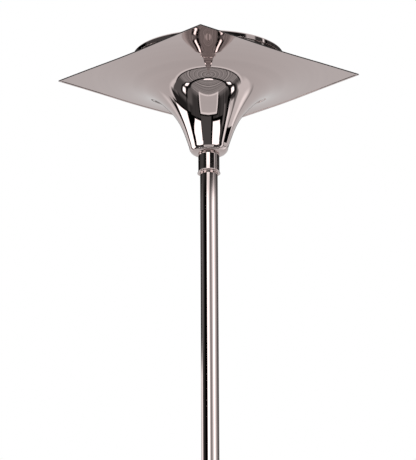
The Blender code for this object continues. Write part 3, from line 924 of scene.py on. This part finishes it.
# The trimmed faces take the near-black painted edge, and the hem's step takes the dark-painted tank steel:
# painted shade for the dark line along the edge.
for face in canopy.data.polygons:
    sideways = max(abs(face.normal.x), abs(face.normal.y))
    reach = max(abs(face.center.x), abs(face.center.y))
    trimmed = reach > half_side - 0.0002 and sideways > 0.8
    hem_step = abs(reach - half_side + HEM_WIDTH) < 0.0006 and sideways > 0.3
    face.material_index = 1 if trimmed else 2 if hem_step else 0

# %% [markdown]
# ## The ferrule and the pole
#
# The ferrule is a turned collar that covers the joint between trumpet and pole. Its lower lip flares out,
# and that small curve is a bright ring in the light. The pole is two drawn tubes with a grooved band
# between them. All of them are outlines turned on the lathe, with their corners rounded by a bevel.

# %% Ferrule
GAP = 0.0003
ferrule_low, ferrule_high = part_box("ferrule")
FERRULE_RADIUS = 0.0153
lip, bottom, top = ferrule_high.x, ferrule_low.z, ferrule_high.z
socket, seat = POLE_RADIUS + GAP, top - 0.008
flare = [(FERRULE_RADIUS, bottom + 0.0050), (FERRULE_RADIUS + 0.0002, bottom + 0.0032)]
flare += [(FERRULE_RADIUS + 0.0007, bottom + 0.0018), (lip, bottom + 0.0009)]
outline = [(BOLT_HOLE, top), (FERRULE_RADIUS, top), (FERRULE_RADIUS, bottom + 0.0056), *spline(flare, 7)]
outline += [(lip, bottom), (socket, bottom), (socket, seat), (BOLT_HOLE, seat), outline[0]]
ferrule = turned("ferrule_collar", outline, sides=128)
finish_off(ferrule, drawn_mirror, "polished_steel", "ferrule", 0.00035, segments=3, angle=35)


# %% Pole tubes
THREAD_RADIUS = 0.0025


def tube_between(name, node_name, material, slot, wall=0.0015, sides=128, hole_height=None):
    """A tube in the box of its working piece. A screw's hole gets a ring of edges above and below it."""
    low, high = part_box(node_name)
    bore = high.x - wall
    rings = [hole_height - 0.006, hole_height + 0.006] if hole_height else []
    outline = [(bore, low.z), (high.x, low.z), *((high.x, ring) for ring in rings), (high.x, high.z)]
    outline += [(bore, high.z), *((bore, ring) for ring in reversed(rings)), (bore, low.z)]
    made = turned(name, outline, sides)
    if hole_height:
        drill(made, THREAD_RADIUS + GAP, 0.012, (high.x, 0, hole_height), "Y")
    finish_off(made, material, slot, node_name, 0.0004, segments=3)


boss_low, boss_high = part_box("thumb_boss")
thumb_height = (boss_low.z + boss_high.z) / 2
tube_between("upper_pole", "pole_upper", drawn_mirror, "polished_steel")
tube_between("lower_pole", "pole_lower", drawn_mirror, "polished_steel", hole_height=thumb_height)

# %% Coupler with its grooved band
coupler_low, coupler_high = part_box("pole_coupler")
middle, reach = (coupler_low.z + coupler_high.z) / 2, (coupler_high.z - coupler_low.z) / 2
SPIGOT = 0.0109
BAND = 0.004
outline = [(0, middle - reach), (SPIGOT, middle - reach)]
outline += [(SPIGOT, middle - BAND), (POLE_RADIUS, middle - BAND)]
for groove in (-0.0016, 0.0016):
    outline += [(POLE_RADIUS, middle + groove - 0.0005), (POLE_RADIUS - 0.0005, middle + groove - 0.0002)]
    outline += [(POLE_RADIUS - 0.0005, middle + groove + 0.0002), (POLE_RADIUS, middle + groove + 0.0005)]
outline += [(POLE_RADIUS, middle + BAND), (SPIGOT, middle + BAND)]
outline += [(SPIGOT, middle + reach), (0, middle + reach)]
coupler = turned("coupler_band", outline, sides=96)
finish_off(coupler, satin, "bright_steel", "pole_coupler", 0.0002)

# %% [markdown]
# ## Screws
#
# Button screws hold the two tubes to the coupler, and grub screws lock the ferrule. Each is turned standing
# up, its hexagon socket is cut with a six-sided drill, and then it is laid over and moved to its place.


# %% Button screws and grub screws
def socket_cut(piece, across_flats, top, depth):
    radius = across_flats / math.sqrt(3)
    outline = [(0, top - depth), (radius, top - depth), (radius, top + 0.002), (0, top + 0.002)]
    cut(piece, turned("hexagon_drill", outline, sides=6))


def button_screw(name, node_name):
    low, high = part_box(node_name)
    height = (low.z + high.z) / 2
    under_head = POLE_RADIUS + GAP
    dome = arc((0, under_head - 0.0022), 0.0046, 30, 78, 6)
    outline = [(0, low.y), (0.0022, low.y), (0.0022, under_head), (0.0044, under_head)]
    outline += [*dome, (0, dome[-1][1])]
    made = turned(name, outline, sides=32)
    socket_cut(made, 0.0025, dome[-1][1], 0.0013)
    soften(made, 0.00012, angle=35)
    lay(made, -90, "X")
    move(made, (0, 0, height))
    shade(made)
    dress(made, satin, "bright_steel", node_name)


button_screw("lower_button_screw", "coupler_screw_lower")
button_screw("upper_button_screw", "coupler_screw_upper")


def grub_screw(name, node_name, axis, angle):
    low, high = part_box(node_name)
    outer, inner = max(high.x, high.y), max(low.x, low.y)
    outline = [(0, inner), (0.0017, inner), (0.0025, inner + 0.0006), (0.0025, outer), (0, outer)]
    made = turned(name, outline, sides=32)
    socket_cut(made, 0.0025, outer, 0.0017)
    soften(made, 0.0001, angle=35)
    lay(made, angle, axis)
    move(made, (0, 0, (low.z + high.z) / 2))
    shade(made)
    dress(made, satin, "bright_steel", node_name)


grub_screw("right_grub_screw", "ferrule_screw_right", "Y", 90)
grub_screw("back_grub_screw", "ferrule_screw_back", "X", -90)

# %% [markdown]
# ## The ground stake
#
# The stake is a spike with a foot plate to push it in by, and a spigot that the pole slips over. The plate
# is a circle whose halves are pulled apart, with six shallow grooves for the sole of a shoe to grip. A
# thumb screw with a fluted knob clamps the pole to the spigot.

# %% Foot plate
STUD_HOLE = 0.0053
plate_low, plate_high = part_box("foot_plate")
half_length, half_width, thick = plate_high.x, plate_high.y, plate_high.z - plate_low.z
start_clean()
bpy.ops.mesh.primitive_circle_add(vertices=96, radius=half_width, fill_type="NGON", location=(0, 0, 0))
plate = bpy.context.object
plate.name = plate.data.name = "grooved_foot_plate"
edit(plate)
for direction in (1, -1):
    pick(plate, lambda vert: vert.co.x * direction > 0.0005)
    bpy.ops.transform.translate(value=(direction * (half_length - half_width), 0, 0))
bpy.ops.mesh.select_all(action="SELECT")
bpy.ops.mesh.extrude_region_move(TRANSFORM_OT_translate={"value": (0, 0, thick)})
bpy.ops.mesh.select_all(action="SELECT")
bpy.ops.mesh.normals_make_consistent(inside=False)
leave_edit()
drill(plate, STUD_HOLE, 0.02, (0, 0, 0))
for offset in (-0.046, -0.038, -0.030, 0.030, 0.038, 0.046):
    start_clean()
    bar_size = (0.0026, half_width * 1.1, 0.0016)
    bpy.ops.mesh.primitive_cube_add(size=1, scale=bar_size, location=(offset, 0, thick))
    slot_bar = bpy.context.object
    soften(slot_bar, 0.0006, segments=2)
    bpy.ops.object.transform_apply(location=True, scale=True)
    cut(plate, slot_bar)
finish_off(plate, satin, "bright_steel", "foot_plate", 0.0006, segments=3, angle=40)

# %% Spike, spigot and bush
spike_low, spike_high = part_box("stake_spike")
radius, shoulder = spike_high.x, spike_low.z + 0.040
outline = [(0, spike_low.z), (0.0006, spike_low.z + 0.0004), (radius * 0.55, spike_low.z + 0.018)]
outline += [(radius * 0.93, spike_low.z + 0.035), (radius, shoulder)]
outline += [(radius, spike_high.z), (0, spike_high.z)]
spike = turned("pointed_spike", outline, sides=48)
finish_off(spike, satin, "bright_steel", "stake_spike", 0.0008, angle=40)

spigot_low, spigot_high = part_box("stake_spigot")
radius = spigot_high.x
outline = [(STUD_HOLE, spigot_low.z), (radius, spigot_low.z), (radius, spigot_high.z - 0.004)]
outline += [*arc((radius - 0.004, spigot_high.z - 0.004), 0.004, 0, 90, 8), (0, spigot_high.z)]
spigot = turned("round_spigot", outline, sides=64)
shade(spigot)
dress(spigot, satin, "bright_steel", "stake_spigot")

bush_low, bush_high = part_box("pole_end_bush")
bore, sleeve = radius + GAP, SPIGOT
flange = bush_low.z + 0.003
outline = [(bore, bush_low.z), (POLE_RADIUS, bush_low.z), (POLE_RADIUS, flange), (sleeve, flange)]
outline += [(sleeve, bush_high.z), (bore, bush_high.z), outline[0]]
bush = turned("flanged_bush", outline, sides=64)
finish_off(bush, nylon, "black_nylon", "pole_end_bush", 0.0002)


# %% Fluted grips
def fluted_grip(name, radius, flutes, depth, low, high, round_edge):
    """A grip standing on Z: a circle whose rim is pulled in eight steps to each flute, raised and rounded."""
    steps = 8
    start_clean()
    bpy.ops.mesh.primitive_circle_add(
        vertices=flutes * steps, radius=radius, fill_type="NGON", location=(0, 0, low)
    )
    made = bpy.context.object
    made.name = made.data.name = name
    edit(made)
    for step in range(1, steps):
        pick(made, lambda vert: vert.index % steps == step)
        inward = 1 - depth / radius * (1 - math.cos(math.tau * step / steps)) / 2
        bpy.ops.transform.resize(value=(inward, inward, 1), center_override=(0, 0, low))
    bpy.ops.mesh.select_all(action="SELECT")
    bpy.ops.mesh.extrude_region_move(TRANSFORM_OT_translate={"value": (0, 0, high - low)})
    bpy.ops.mesh.select_all(action="SELECT")
    bpy.ops.mesh.normals_make_consistent(inside=False)
    leave_edit()
    bpy.ops.object.transform_apply(location=True)
    soften(made, round_edge, segments=3, angle=60)
    return made


# %% Thumb screw with its boss and knob
def lay_at_the_boss(piece):
    """Lays a standing piece over towards X, at the thumb screw's height."""
    lay(piece, 90, "Y")
    move(piece, (0, 0, thumb_height))


boss_radius = boss_high.z - thumb_height
outline = [(THREAD_RADIUS + GAP, 0.008), (boss_radius, 0.008), (boss_radius, boss_high.x - 0.0010)]
outline += [(boss_radius - 0.0010, boss_high.x), (THREAD_RADIUS + GAP, boss_high.x), outline[0]]
boss = turned("welded_boss", outline, sides=48)
lay_at_the_boss(boss)
drill(boss, POLE_RADIUS + GAP, 0.04, (0, 0, thumb_height))
finish_off(boss, satin, "bright_steel", "thumb_boss", 0.0003, angle=35)

screw_low, screw_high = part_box("thumb_screw")
PITCH = 0.0008
THREAD_ROOT = THREAD_RADIUS - 0.0004
outline = [(0, screw_low.x), (THREAD_ROOT, screw_low.x)]
turns = int((screw_high.x - screw_low.x - 0.001) / PITCH)
for turn_number in range(turns):
    root = screw_low.x + PITCH * (turn_number + 0.25)
    outline += [(THREAD_ROOT, root), (THREAD_RADIUS, root + PITCH * 0.5)]
outline += [(THREAD_ROOT, screw_high.x - 0.0002), (0, screw_high.x)]
screw = turned("thumb_screw_thread", outline, sides=32)
lay_at_the_boss(screw)
shade(screw, 50)
dress(screw, satin, "bright_steel", "thumb_screw")

knob_low, knob_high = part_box("thumb_knob")
knob = fluted_grip("fluted_knob", knob_high.z - thumb_height, 8, 0.0014, knob_low.x, knob_high.x, 0.0009)
drill(knob, THREAD_RADIUS + GAP, 0.014, (0, 0, knob_low.x))
lay_at_the_boss(knob)
shade(knob)
dress(knob, nylon, "black_nylon", "thumb_knob")

pad_low, pad_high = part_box("thumb_pad")
outline = [(0, pad_low.x), (0.0022, pad_low.x), (0.0022, pad_high.x), (0, pad_high.x)]
pad = turned("clamp_pad", outline, sides=32)
soften(pad, 0.0003)
lay_at_the_boss(pad)
shade(pad)
dress(pad, nylon, "black_nylon", "thumb_pad")

# %% [markdown]
# ## The tank
#
# The tank hangs in the trumpet on a rubber ring. It is a drawn drum with a well below it that keeps the
# wick in the last of the oil. The lid is crimped over the drum's edge into a rolled rim, and a pressed ring
# stiffens it.

# %% Drum
tank_low, tank_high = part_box("fuel_tank")
drum_radius, drum_wall = tank_high.x, 0.0009
drum_floor = corner_plane - 0.0065
outer = [(drum_radius, tank_high.z), *arc((drum_radius - 0.006, drum_floor + 0.006), 0.006, 0, -90, 8)]
outer += arc((0.049, drum_floor - 0.006), 0.006, 90, 165, 7)
outer += arc((0.022, tank_low.z + 0.008), 0.008, -10, -90, 8)
inner = beside(outer, drum_wall)
inner[0] = (drum_radius - drum_wall, tank_high.z)
outline = [(0, tank_low.z), *reversed(outer), *inner, (0, tank_low.z + drum_wall)]
drum = turned("tank_drum", outline, sides=160)
shade(drum)
dress(drum, tank_steel_painted_dark, "polished_steel", "fuel_tank")

# %% Lid with its rolled rim
lid_low, lid_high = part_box("tank_lid")
rim_outer, rim_top = lid_high.x, lid_high.z
rim_wall, lid_sheet = 0.0010, 0.0010
rim_inner = rim_outer - 0.0055
lid_edge, lid_centre = corner_plane + 0.0280, corner_plane + 0.0310
holder_hole = 0.0093


def lid_height(radius):
    return lid_centre + (lid_edge - lid_centre) * (radius - holder_hole) / (rim_inner - 0.004 - holder_hole)


outline = [(holder_hole, lid_centre - lid_sheet), (rim_inner - 0.004, lid_edge - lid_sheet)]
outline += [(rim_inner, lid_edge), (rim_inner, tank_high.z + GAP), (rim_outer - rim_wall, tank_high.z + GAP)]
outline += [(rim_outer - rim_wall, lid_low.z), (rim_outer, lid_low.z)]
outline += arc((rim_outer - 0.0020, rim_top - 0.0020), 0.0020, 0, 90, 8)
outline += arc((rim_inner + 0.0010, rim_top - 0.0020), 0.0020, 90, 180, 8)
outline += [(rim_inner - rim_wall, lid_edge + 0.0014), (rim_inner - 0.0025, lid_edge + 0.0003)]
for radius, rise in ((0.0945, 0), (0.0932, 0.0005), (0.0915, 0.0009), (0.0898, 0.0005), (0.0885, 0)):
    outline.append((radius, lid_height(radius) + rise))
outline += [(holder_hole, lid_centre), outline[0]]
lid = turned("rimmed_lid", outline, sides=160)
filler_low, filler_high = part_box("filler_neck")
filler_x = (filler_low.x + filler_high.x) / 2
drill(lid, 0.0105, 0.02, (filler_x, 0, lid_centre))
finish_off(lid, spun_mirror, "polished_steel", "tank_lid", 0.0002, angle=50)

# %% Rubber seat ring
ring_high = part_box("seat_ring")[1]
ring_outer, ring_inner = ring_high.x, ring_high.x - 0.006
under = [(radius, height + SHEET + GAP) for radius, height in underside]


def above_trumpet(radius):
    heights = np.interp(radius, [r for r, _ in reversed(under)], [z for _, z in reversed(under)])
    return float(heights)


outline = [(ring_outer, above_trumpet(ring_outer)), (ring_inner, above_trumpet(ring_inner))]
outline += [(ring_inner, ring_high.z), (ring_outer, ring_high.z), outline[0]]
ring = turned("rubber_seat_ring", outline, sides=128)
finish_off(ring, rubber, "black_rubber", "seat_ring", 0.0008, segments=3, angle=40)

# %% [markdown]
# ## Wick and snuffer
#
# The wick holder is turned, with a flange. The wick is braided: sixteen yarns wind one way and
# sixteen the other, each passing over and under in turn. The snuffer is a drawn cap with a turned knob on
# it.

# %% Wick holder
holder_low, holder_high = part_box("wick_holder")
flange_radius, flange_top = holder_high.x, corner_plane + 0.0336
stem, tip, wick_bore = 0.0090, 0.0100, 0.0075
flange_low = lid_centre + GAP
outline = [(wick_bore, holder_low.z), (stem, holder_low.z), (stem, flange_low), (flange_radius, flange_low)]
outline += [(flange_radius, flange_top), (tip + 0.0010, flange_top), (tip, flange_top + 0.0010)]
outline += [(tip, flange_top + 0.0045), (tip - 0.0006, flange_top + 0.0050)]
outline += [(tip - 0.0006, flange_top + 0.0056), (tip, flange_top + 0.0061)]
outline += [(tip, holder_high.z), (wick_bore, holder_high.z), outline[0]]
holder = turned("turned_wick_holder", outline, sides=96)
finish_off(holder, satin, "bright_steel", "wick_holder", 0.0003, angle=35)

# %% Braided wick
wick_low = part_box("wick")[0].z
wick_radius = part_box("wick")[1].x
core_radius = wick_radius - 0.0016
core_top = wick_top - 0.0012
outline = [(0, wick_low), (core_radius, wick_low), (core_radius, core_top)]
outline += [(core_radius * 0.6, core_top + 0.0005), (0, core_top + 0.0007)]
wick = turned("braided_wick", outline, sides=32)
YARNS, YARN_RADIUS, SWAY = 16, 0.00060, 0.00035
braid_low, braid_length = wick_top - 0.026, 0.0255
braid_radius = wick_radius - YARN_RADIUS - SWAY
points_per_crossing = 3
count = 2 * YARNS * points_per_crossing + 1
for direction in (1, -1):
    for yarn_number in range(YARNS):
        line = bpy.data.curves.new("yarn", "CURVE")
        line.dimensions = "3D"
        line.bevel_depth = YARN_RADIUS
        line.bevel_resolution = 1
        line.use_fill_caps = True
        path = line.splines.new("POLY")
        path.points.add(count - 1)
        for index, point in enumerate(path.points):
            share = index / (count - 1)
            angle = math.tau * (direction * share + yarn_number / YARNS)
            reach = braid_radius + direction * SWAY * math.cos(math.tau * YARNS * share)
            point.co = (reach * math.cos(angle), reach * math.sin(angle), braid_low + share * braid_length, 1)
        yarn_object = bpy.data.objects.new("yarn", line)
        scene.collection.objects.link(yarn_object)
start_clean()
for item in scene.objects:
    if item.type == "CURVE":
        item.select_set(True)
        bpy.context.view_layer.objects.active = item
bpy.ops.object.convert(target="MESH")
wick.select_set(True)
bpy.context.view_layer.objects.active = wick
bpy.ops.object.join()
shade(wick, 60)
dress(wick, fibre, "glass_fibre", "wick")

# %% Snuffer cap and knob
cap_low, cap_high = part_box("snuffer_cap")
cap_outer, cap_wall = cap_high.x, 0.0012
ceiling_height = corner_plane + 0.0585
inside = cap_outer - cap_wall
rivet_hole = 0.0021
outline = [(rivet_hole, ceiling_height), *arc((inside - 0.003, ceiling_height - 0.003), 0.003, 90, 0, 5)]
outline += [(inside, cap_low.z), (cap_outer, cap_low.z), (cap_outer, cap_low.z + 0.0016)]
outline += [(cap_outer - 0.0003, cap_low.z + 0.0020), (cap_outer - 0.0003, cap_high.z - 0.0042)]
outline += arc((cap_outer - 0.0043, cap_high.z - 0.0040), 0.0040, 0, 90, 8)
outline += [(rivet_hole, cap_high.z), outline[0]]
snuffer = turned("snuffer_bell", outline, sides=96)
finish_off(snuffer, spun_mirror, "polished_steel", "snuffer_cap", 0.00025, angle=40)

knob_low, knob_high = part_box("snuffer_knob")
rivet = 0.0018
outline = [(0, knob_low.z), (0.0030, knob_low.z)]
outline += [(0.0030, ceiling_height - GAP), (rivet, ceiling_height - GAP)]
outline += [(rivet, cap_high.z + GAP), (0.0042, cap_high.z + GAP), (0.0040, cap_high.z + 0.0008)]
outline += [(0.0024, cap_high.z + 0.0014)]
ball = 0.0032
outline += [*arc((0, knob_high.z - ball), ball, -35, 84, 12), (0, knob_high.z)]
snuffer_knob = turned("snuffer_ball", outline, sides=48)
finish_off(snuffer_knob, spun_mirror, "polished_steel", "snuffer_knob", 0.00012, angle=50, smooth=50)

# %% [markdown]
# ## The filler
#
# A threaded neck stands in the lid with a flange on it, and a ribbed nylon cap screws down over a rubber
# seal.

# %% Filler neck and cap
neck, neck_bore, neck_flange = 0.0102, 0.0080, 0.0140
flange_bottom, flange_height = corner_plane + 0.0300, 0.0016
outline = [(neck_bore, filler_low.z), (neck, filler_low.z)]
outline += [(neck, flange_bottom), (neck_flange, flange_bottom)]
outline += [(neck_flange, flange_bottom + flange_height), (neck, flange_bottom + flange_height)]
thread_low = flange_bottom + flange_height + 0.0012
for turn_number in range(4):
    start = thread_low + turn_number * 0.0019
    outline += [(neck - 0.0004, start), (neck, start + 0.0006)]
    outline += [(neck, start + 0.0009), (neck - 0.0004, start + 0.0014)]
outline += [(neck - 0.0004, filler_high.z), (neck_bore, filler_high.z), outline[0]]
neck_piece = turned("threaded_neck", outline, sides=64)
move(neck_piece, (filler_x, 0, 0))
finish_off(neck_piece, satin, "bright_steel", "filler_neck", 0.0002, angle=50)

seal_low, seal_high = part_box("filler_seal")
seal_radius = (seal_high.x - seal_low.x) / 2
outline = [(0, seal_low.z), (seal_radius, seal_low.z), (seal_radius, seal_high.z), (0, seal_high.z)]
seal = turned("rubber_seal", outline, sides=48)
soften(seal, 0.0004, segments=3)
move(seal, (filler_x, 0, 0))
shade(seal)
dress(seal, rubber, "black_rubber", "filler_seal")

cap_low, cap_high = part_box("filler_cap")
cap_radius = (cap_high.x - cap_low.x) / 2
cap = fluted_grip("ribbed_filler_cap", cap_radius, 24, 0.0007, cap_low.z, cap_high.z, 0.0008)
pocket_top = seal_high.z + GAP
drill(cap, 0.0108, 2 * (pocket_top - cap_low.z), (0, 0, cap_low.z))
move(cap, (filler_x, 0, 0))
shade(cap)
dress(cap, nylon, "black_nylon", "filler_cap")

# %% [markdown]
# ## Pieces that stay as they are
#
# The bolt, its washer, the plug in the pole and the nut under the lid are hidden inside. Their working
# shapes are right, so they keep them and only take a finish.

# %% Hidden fittings
for name in ("head_bolt", "head_washer", "pole_top_plug", "wick_nut"):
    kept = frame["nodes"][name]
    kept.data.materials.clear()
    kept.data.materials.append(satin)
hidden = [name for name, item in frame["nodes"].items() if item.hide_render]
print("stood for:", len(hidden), "kept:", sorted(set(frame["nodes"]) - set(hidden)))
